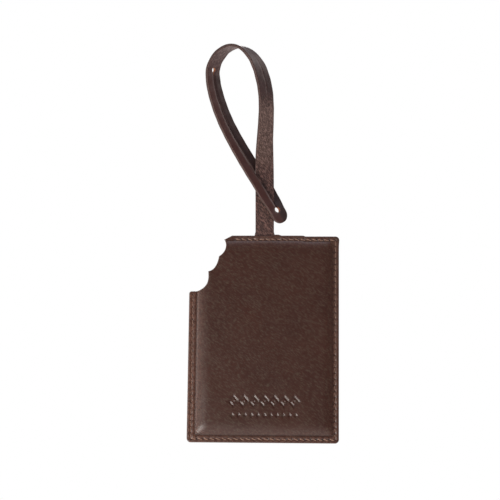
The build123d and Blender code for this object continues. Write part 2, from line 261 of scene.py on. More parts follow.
def strap_leather(name, nap):
    """Bridle leather for the strap. The grain side is polished and dark, with painted shade on the right half
    of the slit stretch and a painted highlight on the inside of the bend. The flesh side is buffed to a short
    nap, so it scatters light and shows pale flecks and slanting scratches, with a stretch of painted light
    along its middle."""
    material, tree, shader = new_material(name)
    flat = object_place(tree)
    clouds, fine, breaks = (
        add(tree, NOISE, {"Vector": flat, "Scale": scale, "Detail": detail, "Roughness": roughness})
        for scale, detail, roughness in ((0.16, 3.0, 0.55), (3.2, 4.0, 0.6), (0.9, 3.0, 0.55)))
    colour = add(tree, RAMP, {"Fac": clouds}, stops=((0.35, "#371D1A"), (0.65, "#442522")))
    if nap:
        napped, score_line = (
            add(tree, ATTRIBUTE, out="Fac", attribute_name=key) for key in ("nap", "score_line"))
        fibre = add(tree, NOISE, {"Vector": object_place(tree, -56, (0.4, 1.0, 1.5)), "Scale": 1.5,
                                  "Detail": 5.0, "Roughness": 0.66})
        # The nap's own flecked colour, and a lighter copy of it laid on its middle stretch as painted light.
        pale, lit_nap_colour = (
            add(tree, RAMP, {"Fac": fibre}, stops=tuple(zip((0.38, 0.5, 0.63), codes)))
            for codes in (("#2E1A16", "#49302A", "#866258"), ("#664F45", "#866C60", "#C0A296")))
        broken = add(tree, RANGE, (breaks, 0.42, 0.58, 0.0, 1.0))
        scored = add(tree, MATH, (broken, score_line), operation="MULTIPLY")
        colour = lay_over(
            tree, colour, (napped, lay_over(tree, pale, ("nap_painted_light", lit_nap_colour))), (scored, "#8A7066"))
        height = weighted_sum(tree, (fibre, 1.0), (fine, 0.5))
        height = add(tree, MATH, (height, napped), operation="MULTIPLY")
        roughness, relief = add(tree, RANGE, (napped, 0.0, 1.0, 0.42, 0.7)), 0.2
    else:
        # On the inside of the bend above the slit a lighter, wrinkled colour is laid: a painted highlight.
        # The wrinkles' bump is real relief.
        bend_light = add(tree, ATTRIBUTE, out="Fac", attribute_name="bend_painted_light")
        wrinkles = add(tree, NOISE, {"Vector": object_place(tree, 35, (0.5, 1.0, 1.5)), "Scale": 1.1,
                                     "Detail": 5.0, "Roughness": 0.6})
        lit_bend_colour = add(tree, RAMP, {"Fac": wrinkles}, stops=((0.35, "#4E3633"), (0.65, "#836A66")))
        # The slit stretch's right half, set back behind the left one, is darkened: painted shade.
        tint = lay_over(tree, "#5C362E", ("right_half_painted_shade", "#32211E"))
        colour = lay_over(tree, colour, (0.6, tint), (bend_light, lit_bend_colour))
        wrinkled = add(tree, MATH, (wrinkles, bend_light), operation="MULTIPLY")
        height = weighted_sum(tree, (fine, 0.3), (clouds, 0.3), (wrinkled, 1.5))
        roughness, relief = 0.46, 0.09
    feed(tree, shader, {
        # Paler towards the cut edges: partly wear, partly a painted highlight.
        "Base Color": lay_over(tree, colour, ("edge_wear_and_highlight", "#6A5048")), "Roughness": roughness,
        "Normal": add(tree, BUMP, {"Height": height, "Distance": relief * MM})})
    return material


def fibrous(name, scale, detail, stops, roughness, relief, tangle=0.55, stretch=(1, 1, 1)):
    """A dull finish whose colour and relief follow its fibres."""
    material, tree, shader = new_material(name)
    fibre = add(tree, NOISE, {"Vector": object_place(tree, 0, stretch), "Scale": scale,
                              "Detail": detail, "Roughness": tangle})
    feed(tree, shader, {
        "Base Color": add(tree, RAMP, {"Fac": fibre}, stops=stops), "Roughness": roughness,
        "Normal": add(tree, BUMP, {"Height": fibre, "Distance": relief * MM})})
    return material


def bonded_thread():
    """Bonded polyester thread: a tan that has dulled in wax, with the ply's slant as fine lines."""
    material, tree, shader = new_material("bonded_thread")
    ply = add(tree, "ShaderNodeTexWave", {"Vector": object_place(tree), "Scale": 1.6, "Distortion": 1.5},
              "Fac", wave_type="BANDS", bands_direction="DIAGONAL")
    colour = add(tree, RAMP, {"Fac": ply}, stops=((0.2, "#7A5644"), (0.7, "#B38D78")))
    feed(tree, shader, {
        "Base Color": colour, "Roughness": 0.55, "Sheen Weight": 0.2,
        "Normal": add(tree, BUMP, {"Height": ply, "Distance": 0.05 * MM})})
    return material


def soft_pvc_film():
    """Clear soft PVC: slightly warm, glossy, with a faint ripple from handling."""
    material, tree, shader = new_material("soft_pvc_film")
    ripple = add(tree, NOISE, {"Vector": object_place(tree), "Scale": 0.08, "Detail": 2.0,
                               "Roughness": 0.55})
    feed(tree, shader, {
        "Base Color": "#F3F4F1", "Transmission Weight": 1.0, "Roughness": 0.07, "IOR": 1.53,
        "Normal": add(tree, BUMP, {"Height": ripple, "Distance": 0.25 * MM})})
    return material


def ruled_card():
    """Uncoated card with pale ruled lines to write on, 9 mm apart, and a soft tooth to its surface."""
    material, tree, shader = new_material("ruled_card")
    flat = object_place(tree)
    tooth = add(tree, NOISE, {"Vector": flat, "Scale": 2.0, "Detail": 5.0, "Roughness": 0.55})
    height = add(tree, "ShaderNodeSeparateXYZ", (flat,), "Z")
    from_rule = add(tree, MATH, (height, 4.5), operation="PINGPONG")
    rule = add(tree, RANGE, (from_rule, 0.12, 0.22, 1.0, 0.0))
    paper = add(tree, RAMP, {"Fac": tooth}, stops=((0.3, "#DDD8CB"), (0.7, "#EBE7DC")))
    feed(tree, shader, {
        "Base Color": lay_over(tree, paper, (rule, "#A9B0B5")), "Roughness": 0.8,
        "Normal": add(tree, BUMP, {"Height": tooth, "Distance": 0.04 * MM})})
    return material


def eva_foam():
    """Thin EVA foam: matt off-white, with small closed cells."""
    material, tree, shader = new_material("eva_foam")
    cells = add(tree, "ShaderNodeTexVoronoi", {"Vector": object_place(tree), "Scale": 1.6})
    colour = add(tree, RAMP, {"Fac": cells}, stops=((0.1, "#BDB9AE"), (0.6, "#D6D3C9")))
    feed(tree, shader, {
        "Base Color": colour, "Roughness": 0.92,
        "Normal": add(tree, BUMP, {"Height": cells, "Distance": 0.1 * MM})})
    return material


LEATHER = aniline_calf_leather()
STRAP_GRAIN = strap_leather("bridle_leather_grain_side", nap=False)
STRAP_FLESH = strap_leather("bridle_leather_buffed_side", nap=True)
# Cut and dyed leather edge: paler and drier than the face, with the fibre's layers showing.
CUT_EDGE = fibrous("cut_leather_edge", 2.2, 5.0, ((0.3, "#3E2A25"), (0.65, "#5E4842")), 0.62, 0.08)
# Glued leather layers, dyed and burnished: dark, slightly glossy, with faint lines between them.
BURNISHED = fibrous("burnished_edge", 2.6, 4.0, ((0.35, "#2C1A15"), (0.65, "#46302A")), 0.4, 0.06,
                    stretch=(0.3, 1.0, 0.3))
# Undyed vegetable-tanned core, seen where a hole is punched: a warm, smooth orange tan.
RAW_CORE = fibrous("raw_leather_core", 3.0, 4.0, ((0.3, "#8A5232"), (0.7, "#B97B55")), 0.7, 0.0)
# Flesh side of the cover leathers, turned inwards: matt, fibrous, lighter brown.
FLESH = fibrous("flesh_side", 2.0, 6.0, ((0.3, "#4C382F"), (0.7, "#6E574A")), 0.85, 0.12, tangle=0.7)
# Pressed grey board: matt, with flecks of pulp.
BOARD = fibrous("grey_board", 1.2, 6.0, ((0.3, "#7A7263"), (0.7, "#9A9282")), 0.9, 0.06, tangle=0.7)
THREAD = bonded_thread()


# --------------------------------------
# Flat patterns: leather is cut flat, then shaped
# --------------------------------------
FAR = 1e9
BATCH = 4000


def line(start, end, step):
    """Points from start up to, but not including, end."""
    start, end = np.array(start, float), np.array(end, float)
    count = max(int(np.ceil(np.linalg.norm(end - start) / step)), 1)
    return [tuple(start + (end - start) * i / count) for i in range(count)]


def arc(centre, radius, from_deg, to_deg, count):
    """Points on an arc, without its last point."""
    angles = [radians(from_deg + (to_deg - from_deg) * i / count) for i in range(count)]
    return [(centre[0] + radius * cos(a), centre[1] + radius * sin(a)) for a in angles]


def bite(start, first, second, end, count=22):
    """Points on a cubic curve, without its last point."""
    t = np.arange(count)[:, None] / count
    weights = ((1 - t) ** 3, 3 * t * (1 - t) ** 2, 3 * t * t * (1 - t), t ** 3)
    corners = (start, first, second, end)
    return [tuple(p) for p in sum(w * np.array(c) for w, c in zip(weights, corners))]


def tag_outline(right=HALF_WIDTH, step=0.8):
    """The tag's outline with its scalloped corner, anticlockwise as seen from the front."""
    left, foot, r = -HALF_WIDTH, -TAG_HEIGHT, CORNER_RADIUS
    shift = lambda p: (p[0] + left, p[1])
    points = line((left, BITE_CUSPS[-1][1] - BELOW_BITES), (left, foot + r), step)
    points += arc((left + r, foot + r), r, 180, 270, 8)
    points += line((left + r, foot), (right - r, foot), step)
    points += arc((right - r, foot + r), r, 270, 360, 8)
    points += line((right, foot + r), (right, -r), step)
    points += arc((right - r, -r), r, 0, 90, 8)
    points += line((right - r, 0), shift(BITE_TOP), step)
    points += line(shift(BITE_TOP), shift(BITE_CUSPS[0]), step / 2)
    for start, handles, end in zip(BITE_CUSPS, BITE_HANDLES, BITE_CUSPS[1:]):
        points += bite(shift(start), shift(handles[0]), shift(handles[1]), shift(end))
    last = shift(BITE_CUSPS[-1])
    points += line(last, (left + BELOW_BITES, last[1]), step / 2)
    points += arc((left + BELOW_BITES, last[1] - BELOW_BITES), BELOW_BITES, 90, 180, 6)
    return points


def round_rectangle(x_low, x_high, z_low, z_high, radius, step=0.8):
    """A rectangle with round corners, anticlockwise."""
    left, right, foot, top = x_low + radius, x_high - radius, z_low + radius, z_high - radius
    sides = [
        ((x_low, top), (x_low, foot), (left, foot), 180), ((left, z_low), (right, z_low), (right, foot), 270),
        ((x_high, foot), (x_high, top), (right, top), 0), ((right, z_high), (left, z_high), (left, top), 90),
    ]
    points = []
    for start, end, corner, turn in sides:
        points += line(start, end, step) + arc(corner, radius, turn, turn + 90, 8)
    return points


def distance_to(points, loops):
    """How far each point lies from the nearest of some closed outlines."""
    nearest = np.full(len(points), FAR)
    for loop in loops:
        a = np.array(loop)
        b = np.roll(a, -1, axis=0)
        run = b - a
        square = np.maximum((run ** 2).sum(1), 1e-12)
        for start in range(0, len(points), BATCH):
            some = slice(start, start + BATCH)
            p = points[some, None, :] - a[None]
            t = np.clip((p * run[None]).sum(2) / square, 0, 1)
            gap = p - t[..., None] * run[None]
            nearest[some] = np.minimum(nearest[some], np.sqrt((gap ** 2).sum(2)).min(1))
    return nearest


def inside(points, loop):
    """Which points lie inside a closed outline."""
    a = np.array(loop)
    b = np.roll(a, -1, axis=0)
    x, z = points[:, 0][:, None], points[:, 1][:, None]
    crosses = (a[:, 1] > z) != (b[:, 1] > z)
    rise = np.where(b[:, 1] == a[:, 1], 1e-12, b[:, 1] - a[:, 1])
    meets = (b[:, 0] - a[:, 0]) * (z - a[:, 1]) / rise + a[:, 0]
    return (crosses & (x < meets)).sum(1) % 2 == 1


def grid(x_low, x_high, z_low, z_high, step):
    """Points of a grid with every other row shifted by half a step."""
    rows = np.arange(z_low, z_high + step / 2, step * 0.866)
    columns = np.arange(x_low, x_high + step / 2, step)
    x, z = np.meshgrid(columns, rows)
    x[1::2] += step / 2
    return np.stack([x.ravel(), z.ravel()], 1)


def ring_points(loop, insets):
    """Points that run parallel to an outline, a little way in or out from it."""
    a = np.array(loop)
    along = np.roll(a, -1, axis=0) - np.roll(a, 1, axis=0)
    normal = np.stack([-along[:, 1], along[:, 0]], 1) / np.maximum(
        np.linalg.norm(along, axis=1, keepdims=True), 1e-9)
    return np.concatenate([a + normal * inset for inset in insets])


def on_leather(points, outline, holes):
    """The points inside an outline and outside its holes, and which ones they are."""
    keep = inside(points, outline)
    for hole in holes:
        keep &= ~inside(points, hole)
    return points[keep], keep


def cut_pattern(outline, holes=(), fields=(), rims=(0.12, 0.3, 0.55)):
    """Cuts a flat pattern into triangles. fields are point sets; rims are rows of points beside the
    edges, which let the edge be rounded. Returns points, triangles, and each point's edge distance."""
    loops = [outline, *holes]
    sets = [ring_points(outline, rims)] + [ring_points(hole, [-r for r in rims]) for hole in holes]
    loose = np.concatenate(sets)
    wanted = np.concatenate([np.repeat(rims, len(loop)) for loop in loops])
    loose = loose[distance_to(loose, loops) > wanted * 0.85]
    free = np.concatenate(fields)
    free = free[distance_to(free, loops) > rims[-1] * 1.25]
    points = on_leather(np.concatenate([loose, free]), outline, holes)[0]
    corners, edges = [], []
    for loop in loops:
        first = len(corners)
        corners += loop
        edges += [(first + i, first + (i + 1) % len(loop)) for i in range(len(loop))]
    made = delaunay_2d_cdt([Vector(p) for p in [*corners, *points]], edges, [], 0, 1e-5)
    flat = np.array([(v.x, v.y) for v in made[0]])
    triangles = np.array([f for f in made[2] if len(f) == 3])
    triangles = triangles[on_leather(flat[triangles].mean(1), outline, holes)[1]]
    a, b, c = (flat[triangles[:, i]] for i in range(3))
    area = (b[:, 0] - a[:, 0]) * (c[:, 1] - a[:, 1]) - (b[:, 1] - a[:, 1]) * (c[:, 0] - a[:, 0])
    triangles[area < 0] = triangles[area < 0][:, ::-1]
    triangles = triangles[np.abs(area) > 1e-7]
    used = np.unique(triangles)
    renumber = np.zeros(len(flat), int)
    renumber[used] = np.arange(len(used))
    flat, triangles = flat[used], renumber[triangles]
    return flat, triangles, distance_to(flat, loops)


def border_edges(triangles):
    """The directed edges that only one triangle has."""
    directed = dict.fromkeys((tri[i], tri[(i + 1) % 3]) for tri in triangles for i in range(3))
    return [(a, b) for a, b in directed if (b, a) not in directed]


def placed(name, data):
    """A new object for a mesh, lamp or camera, linked into the scene."""
    made = bpy.data.objects.new(name, data)
    bpy.context.collection.objects.link(made)
    return made


def paint(mesh, key, values):
    """Paints a value on each point of a mesh."""
    mesh.attributes.new(key, "FLOAT", "POINT").data.foreach_set("value", values.astype(np.float32))


def leather_piece(name, triangles, front, back, slots, painting=None, wall_slot=None):
    """A closed piece from a flat pattern: a front face, a back face and the cut edge between them.
    front and back are positions in metres. slots are the materials of front, back and edge, and
    wall_slot names another slot for the edge at some points."""
    count = len(front)
    edges = border_edges(triangles)
    faces = [tuple(t) for t in triangles]
    faces += [tuple(t[::-1] + count) for t in triangles]
    faces += [(b, a, a + count, b + count) for a, b in edges]
    mesh = bpy.data.meshes.new(name)
    mesh.from_pydata([tuple(p) for p in np.concatenate([front, back])], [], faces)
    for material in slots:
        mesh.materials.append(material)
    walls = [2] * len(edges) if wall_slot is None else [wall_slot[a] for a, _ in edges]
    mesh.polygons.foreach_set("material_index", [0] * len(triangles) + [1] * len(triangles) + walls)
    mesh.polygons.foreach_set("use_smooth", np.ones(len(faces), bool))
    for key, values in (painting or {}).items():
        paint(mesh, key, np.concatenate([values, values]))
    mesh.validate()
    mesh.update()
    return placed(name, mesh)


def at(x, y, z):
    """Tag coordinates as positions in the frame, in metres."""
    return np.stack([x + TAG_X, y, z + TAG_TOP], 1) * MM


def soft_step(t):
    """0 up to 0, 1 from 1 on, and a smooth rise between."""
    t = np.clip(t, 0, 1)
    return t * t * (3 - 2 * t)


def on_tag(x, y, z):
    """Tag coordinates as positions, with the small unevenness of hand-cut and hand-sewn leather: the
    left side leans out towards the foot, and the top edge stands a little high beside the strap."""
    down = np.clip(-z / TAG_HEIGHT, 0, 1)
    lean = -1.3 * np.clip((-z - 30) / 70, 0, 1) * np.clip(-x / HALF_WIDTH, 0, 1)
    lean = lean - 0.25 * np.clip(x / HALF_WIDTH, 0, 1) * soft_step(-z / 6)
    high = 0.25 + 0.45 * soft_step((20.5 - x) / 1.2)
    beside_strap = 0.5 * soft_step((8.2 - x) / 0.8) * soft_step((x - 3.5) / 1.5) * soft_step((z + 2.5) / 2)
    low = 0.12 - 0.34 * x / HALF_WIDTH
    return at(x + lean, y, z + (high + beside_strap) * (1 - down) ** 1.3 + low * down)


def soft_min(values, softness):
    """The smallest of several values, with its corners rounded."""
    stacked = np.stack(values)
    low = stacked.min(0)
    return low - softness * np.log(np.exp(-(stacked - low) / softness).sum(0))


def rolled_edge(edge_gap, radius, drop):
    """How far a rounded edge falls away near the cut."""
    t = np.clip(1 - edge_gap / radius, 0, 1)
    return drop * (1 - np.sqrt(1 - t * t * 0.98))


# --------------------------------------
# Seams
# --------------------------------------
def seam_run(start, end):
    """A straight run of stitches: its stitch middles and its needle holes."""
    start, end = np.array(start, float), np.array(end, float)
    length = np.linalg.norm(end - start)
    count = int(length / STITCH_PITCH)
    middles = [start + (end - start) * (i + 0.5) / count for i in range(count)]
    holes = [start + (end - start) * i / count for i in range(count + 1)]
    return middles, holes


def seam_runs(*corners):
    """Straight runs of stitches from corner to corner, and all their needle holes."""
    runs = [seam_run(start, end) for start, end in zip(corners, corners[1:])]
    return runs, np.array([hole for _, holes in runs for hole in holes])


LEFT = -HALF_WIDTH + SEAM_INSET
RIGHT = HALF_WIDTH - SEAM_INSET
TOP = -SEAM_INSET
FOOT = -TAG_HEIGHT + SEAM_INSET
BORDER_RUNS, BORDER_HOLES = seam_runs(
    (LEFT + SEAM_START_X, TOP), (RIGHT, TOP), (RIGHT, FOOT), (LEFT, FOOT), (LEFT, SEAM_END_Z))

WINDOW = (
    CARD_LOW.x - TAG_X + WINDOW_BORDER, CARD_HIGH.x - TAG_X - WINDOW_BORDER,
    CARD_LOW.z - TAG_TOP + WINDOW_BORDER, CARD_HIGH.z - TAG_TOP - WINDOW_BORDER,
)
W_LEFT, W_RIGHT = WINDOW[0] - WINDOW_SEAM_INSET, WINDOW[1] + WINDOW_SEAM_INSET
W_FOOT, W_TOP = WINDOW[2] - WINDOW_SEAM_INSET, WINDOW[3] + WINDOW_SEAM_INSET
WINDOW_RUNS, WINDOW_HOLES = seam_runs(
    (W_LEFT, W_TOP), (W_RIGHT, W_TOP), (W_RIGHT, W_FOOT), (W_LEFT, W_FOOT), (W_LEFT, W_TOP))


def near(points, centres, radius):
    """1 at the centres, falling to 0 at the radius."""
    parts = [points[start:start + BATCH, None] for start in range(0, len(points), BATCH)]
    gaps = [np.linalg.norm(part - centres[None], axis=2).min(1) for part in parts]
    return soft_step(1 - np.concatenate(gaps) / radius)


def seam_field(runs, offsets=(-0.7, -0.35, 0.0, 0.35, 0.7), step=0.38):
    """Close rows of points along a seam, so that its holes can be pressed in."""
    rows = []
    for _, holes in runs:
        start, end = holes[0], holes[-1]
        run = (end - start) / np.linalg.norm(end - start)
        side = np.array([-run[1], run[0]])
        count = int(np.linalg.norm(end - start) / step)
        base = np.array([start + (end - start) * i / count for i in range(count + 1)])
        rows += [base + side * offset for offset in offsets]
    return np.concatenate(rows)


def beside_run(points, holes):
    """How far along a run of stitches each point lies, how far beside it, and the run's length."""
    length = np.linalg.norm(holes[-1] - holes[0])
    run = (holes[-1] - holes[0]) / length
    return (points - holes[0]) @ run, np.abs((points - holes[0]) @ np.array([-run[1], run[0]])), length


def seam_groove(points, runs):
    """1 on a seam line, falling to 0 beside it."""
    best = np.full(len(points), FAR)
    for _, holes in runs:
        along, side, length = beside_run(points, holes)
        best = np.minimum(best, np.hypot(side, along - np.clip(along, 0, length)))
    return soft_step(1 - best / GROOVE_REACH)


def seam_burr(points, runs):
    """The leather between two needle holes bulges a little; 1 where it stands highest."""
    best = np.zeros(len(points))
    for _, holes in runs:
        along, side, length = beside_run(points, holes)
        wave = 0.5 - 0.5 * np.cos(2 * pi * along * (len(holes) - 1) / length)
        on_run = (along > 0) & (along < length)
        best = np.maximum(best, wave * soft_step(1 - np.abs(side - 0.75) / 0.6) * on_run)
    return best


# --------------------------------------
# The blind-tooled ornament: a row of open lozenges over a row of small solid ones
# --------------------------------------
ORNAMENT_Z = -85.3
UPPER_ROW = 3.0
LOWER_ROW = -3.9
LOZENGE_PITCH = 5.0
LOZENGE_REACH = (2.15, 2.45)
POINT_PITCH = 3.15
POINT_REACH = (1.35, 1.8)


def ornament_depth(points):
    """How deeply the ornament's tools have pressed each point, in millimetres: V-shaped lines and
    four-sided points, whose sloping facets catch the light."""
    x, z = points[:, 0], points[:, 1] - ORNAMENT_Z
    pressed = np.zeros(len(points))
    for i in range(-3, 4):
        dx, dz = np.abs(x - i * LOZENGE_PITCH), np.abs(z - UPPER_ROW)
        outline_gap = np.abs(dx / LOZENGE_REACH[0] + dz / LOZENGE_REACH[1] - 1) * 1.62
        pressed = np.maximum(pressed, 0.25 * np.clip(1 - outline_gap / 0.95, 0, 1))
        pressed = np.maximum(pressed, 0.22 * np.clip(1 - dx / 0.8 - dz / 0.9, 0, 1))
    for i in range(-5, 6):
        dx, dz = np.abs(x - i * POINT_PITCH), np.abs(z - LOWER_ROW)
        pressed = np.maximum(pressed, 0.27 * np.clip(1 - dx / POINT_REACH[0] - dz / POINT_REACH[1], 0, 1))
    return pressed


# --------------------------------------
# The tag's pieces
# --------------------------------------
def past_border(points):
    """How far in from the flat border each point lies, by side."""
    x, z = points.T
    gaps = {"left": x + HALF_WIDTH, "right": HALF_WIDTH - x, "top": -z, "foot": z + TAG_HEIGHT}
    return {side: gap - BORDER[side] for side, gap in gaps.items()}


def plateau_share(reach):
    """0 on the flat border, 1 on the raised panel. The slopes are convex, and fan out at the corners."""
    fall = ((1 - np.clip(reach, 0, 1)) ** 4).sum(0) ** 0.25
    return 1 - np.clip(fall, 0, 1) ** 2.3


def make_front_cover():
    """The front leather: a sewn border, the raised panel, the seam's groove and holes, the ornament."""
    fields = [
        grid(-HALF_WIDTH, HALF_WIDTH, -TAG_HEIGHT, 0, 0.95),
        seam_field(BORDER_RUNS),
        grid(-18, 18, ORNAMENT_Z - 6, ORNAMENT_Z + 6, 0.26),
        shoulder_field(),
    ]
    flat, triangles, gap = cut_pattern(tag_outline(), fields=fields)
    x, z = flat.T
    # Up each side's slope: 0 at its foot, 1 at its top.
    reach = np.stack([past / SLOPE[side] for side, past in past_border(flat).items()])
    raised = plateau_share(reach)
    crease_line = np.exp(-((reach.min(0) + 0.02) / 0.055) ** 2)
    crown = 0.22 * np.cos(x / HALF_WIDTH * pi / 2) * np.cos((z + TAG_HEIGHT / 2) / TAG_HEIGHT * pi)
    # The needle sank less deeply down the two sides.
    beside = np.abs(x) > HALF_WIDTH - SEAM_INSET - GROOVE_REACH
    holes = near(flat, BORDER_HOLES, 0.62) * np.where(beside, 0.5, 1.0)
    groove = seam_groove(flat, BORDER_RUNS)
    y = BORDER_Y + raised * (PLATEAU_Y + 0.2 - BORDER_Y) - crown * raised
    y += rolled_edge(gap, 0.6, 0.42)
    tooled = ornament_depth(flat)
    y += 0.16 * groove * (1 - raised) + 0.3 * holes + tooled + 0.16 * crease_line
    burred = seam_burr(flat, BORDER_RUNS)
    y -= 0.09 * burred
    # Above the sewn-in strap end the leather stands a little proud.
    over_strap = soft_step((5.6 - np.abs(x - LOOP_ROUTE[0][0])) / 1.2) * soft_step((z + 13) / 4)
    y -= 0.16 * over_strap * (1 - raised)
    # The panel is never quite even.
    y += 0.05 * np.sin(x * 0.31 + 1.1) * np.sin(z * 0.23) * raised
    y_back = np.minimum(SEAT_Y, (y + FRONT_LEATHER) * raised + SEAT_Y * (1 - raised))
    piece = leather_piece(
        "front_cover_leather", triangles, on_tag(x, y, z), on_tag(x, np.maximum(y_back, y + 0.6), z),
        (LEATHER, FLESH, BURNISHED),
        # Painted shade: dark in the needle holes and along the crease at the foot of the raised panel's
        # slope.
        {"painted_recess_shade": np.maximum(holes * 0.9, crease_line * 0.45),
         # Paler at the cut edge and on the bulges between holes: partly wear, partly a painted highlight.
         "edge_wear_and_highlight": np.maximum(0.25 * soft_step(1 - gap / 0.45), 0.3 * burred),
         # The ornament's strokes are darker in proportion to how deeply the tool pressed.
         "tooled": 1.2 * tooled,
         # Paler border: rubbed wear all round, plus painted light towards the left side.
         "border_wear_and_left_light": (1 - raised) * (0.35 + 0.45 * soft_step((-28 - x) / 4))},
    )
    finished(piece, "tag", "front_cover")


def shoulder_field():
    """Extra points on the slope round the raised panel."""
    points = grid(-HALF_WIDTH, HALF_WIDTH, -TAG_HEIGHT, 0, 0.55)
    past = np.minimum.reduce(list(past_border(points).values()))
    return points[(past > -0.6) & (past < 2.6)]


def finished(piece, body, node):
    """Hides the CAD node that a finished piece stands for, and hangs the piece on its body."""
    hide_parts(node)
    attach(piece, body)


def make_back_cover():
    """The back leather, plain but for the seam that shows beyond the pocket's mouth."""
    right_runs = BORDER_RUNS[1:2]
    fields = [grid(-HALF_WIDTH, HALF_WIDTH, -TAG_HEIGHT, 0, 1.6), seam_field(right_runs)]
    flat, triangles, gap = cut_pattern(tag_outline(), fields=fields)
    x, z = flat.T
    holes = near(flat, BORDER_HOLES, 0.55)
    groove = seam_groove(flat, right_runs)
    open_side = soft_step((x - MOUTH_X) / 0.6)
    y = BACK_Y - (0.32 * groove + 0.1 * holes) * open_side - rolled_edge(gap, 0.5, 0.3)
    piece = leather_piece(
        "back_cover_leather", triangles, on_tag(x, np.full(len(flat), SEAT_Y), z), on_tag(x, y, z),
        (FLESH, LEATHER, BURNISHED),
        # Painted shade in the needle holes.
        # Paler at the cut edge: partly wear, partly a painted highlight.
        {"painted_recess_shade": holes * 0.8 * open_side, "edge_wear_and_highlight": 0.4 * soft_step(1 - gap / 0.4)},
    )
    finished(piece, "tag", "back_cover")


def pocket_outline():
    """The pocket leather: the tag's outline up to a free edge with a thumb notch."""
    outline = tag_outline(right=MOUTH_X)
    middle = (CARD_LOW.z + CARD_HIGH.z) / 2 - TAG_TOP
    centre_x = MOUTH_X + THUMB_SETBACK
    reach = np.arccos(THUMB_SETBACK / THUMB_RADIUS)
    half = THUMB_RADIUS * np.sin(reach)
    kept = [p for p in outline if not (abs(p[0] - MOUTH_X) < 1e-6 and abs(p[1] - middle) < half + 0.3)]
    split = next(i for i, p in enumerate(kept) if abs(p[0] - MOUTH_X) < 1e-6 and p[1] > middle)
    thumb = arc((centre_x, middle), THUMB_RADIUS, 180 + np.degrees(reach), 180 - np.degrees(reach), 28)
    thumb.append((MOUTH_X, middle + half))
    return kept[:split] + thumb + kept[split:]


def make_pocket_panel():
    """The pocket leather, which stands out over the card and is sewn down round it."""
    window = round_rectangle(*WINDOW, WINDOW_CORNER)
    runs = [BORDER_RUNS[0], BORDER_RUNS[2], BORDER_RUNS[3]]
    fields = [grid(-HALF_WIDTH, MOUTH_X, -TAG_HEIGHT, 0, 1.1), seam_field(runs), seam_field(WINDOW_RUNS)]
    flat, triangles, gap = cut_pattern(pocket_outline(), [window], fields)
    x, z = flat.T
    card_left, card_foot, card_top = CARD_LOW.x - TAG_X, CARD_LOW.z - TAG_TOP, CARD_HIGH.z - TAG_TOP
    over_card = soft_min([(past + 3.2) / 3.0 for past in (x - card_left, z - card_foot, card_top - z)], 0.2)
    share = soft_step(over_card)
    holes = np.maximum(near(flat, BORDER_HOLES, 0.6), near(flat, WINDOW_HOLES, 0.6))
    groove = np.maximum(seam_groove(flat, runs), seam_groove(flat, WINDOW_RUNS) * 0.7)
    outer = POCKET_Y - POCKET_STEP * (1 - share)
    y = outer - 0.1 * groove - 0.26 * holes - rolled_edge(gap, 0.5, 0.32)
    inner = BACK_Y + (FILM_OUT_Y - BACK_Y) * share
    y = np.maximum(y, inner + 0.5)
    piece = leather_piece(
        "pocket_leather", triangles, on_tag(x, inner, z), on_tag(x, y, z), (FLESH, LEATHER, CUT_EDGE),
        # Painted shade in the needle holes.
        # Paler at the cut edge: partly wear, partly a painted highlight.
        {"painted_recess_shade": holes * 0.9, "edge_wear_and_highlight": 0.5 * soft_step(1 - gap / 0.45)},
    )
    finished(piece, "tag", "pocket_panel")


def make_padding():
    """The foam under the raised panel, soft at its edges."""
    left, right = FOAM_LOW.x - TAG_X, FOAM_HIGH.x - TAG_X
    foot, top = FOAM_LOW.z - TAG_TOP, FOAM_HIGH.z - TAG_TOP
    cut = tag_outline(step=1.2)

    def clear(p):
        return distance_to(np.array([p]), [cut])[0]

    outline = [p for p in round_rectangle(left, right, foot, top, 1.4, 1.6) if inside(np.array([p]), cut)[0]]
    outline = [p for p in outline if clear(p) > 2.5 or p[0] > 0 or p[1] < -40]
    # Round the scallops the foam keeps its distance from their edge.
    bites = [tuple(p) for p in ring_points(cut, [2.5]) if left < p[0] < left + 22 and -31 < p[1] < top]
    bites = [p for p in bites if clear(p) > 2.3]
    start = next(i for i, p in enumerate(outline) if p[0] <= left + 0.01 and p[1] < -30)
    outline = outline[start:] + outline[:start] + bites
    fields = [grid(left, -left, foot, top, 2.2)]
    flat, triangles, gap = cut_pattern(outline, fields=fields, rims=(0.3, 0.8))
    x, z = flat.T
    middle = (FOAM_LOW.y + FOAM_HIGH.y) / 2
    half = (FOAM_HIGH.y - FOAM_LOW.y) / 2
    thick = half * (0.55 + 0.45 * soft_step(gap / 1.2))
    piece = leather_piece(
        "padding_foam", triangles, at(x, middle - thick, z), at(x, middle + thick, z), (eva_foam(),) * 3)
    finished(piece, "tag", "padding")


# --------------------------------------
# The strap
# --------------------------------------
def smooth_through(values, stations, wanted):
    """A smooth curve through values at their stations, read at the wanted places."""
    values = np.array(values, float)
    slopes = np.gradient(values, stations)
    index = np.clip(np.searchsorted(stations, wanted, side="right") - 1, 0, len(stations) - 2)
    span = stations[index + 1] - stations[index]
    t = np.clip((wanted - stations[index]) / span, 0, 1)
    h00, h10 = 2 * t ** 3 - 3 * t ** 2 + 1, t ** 3 - 2 * t ** 2 + t
    h01, h11 = -2 * t ** 3 + 3 * t ** 2, t ** 3 - t ** 2
    return (h00 * values[index] + h10 * span * slopes[index]
            + h01 * values[index + 1] + h11 * span * slopes[index + 1])


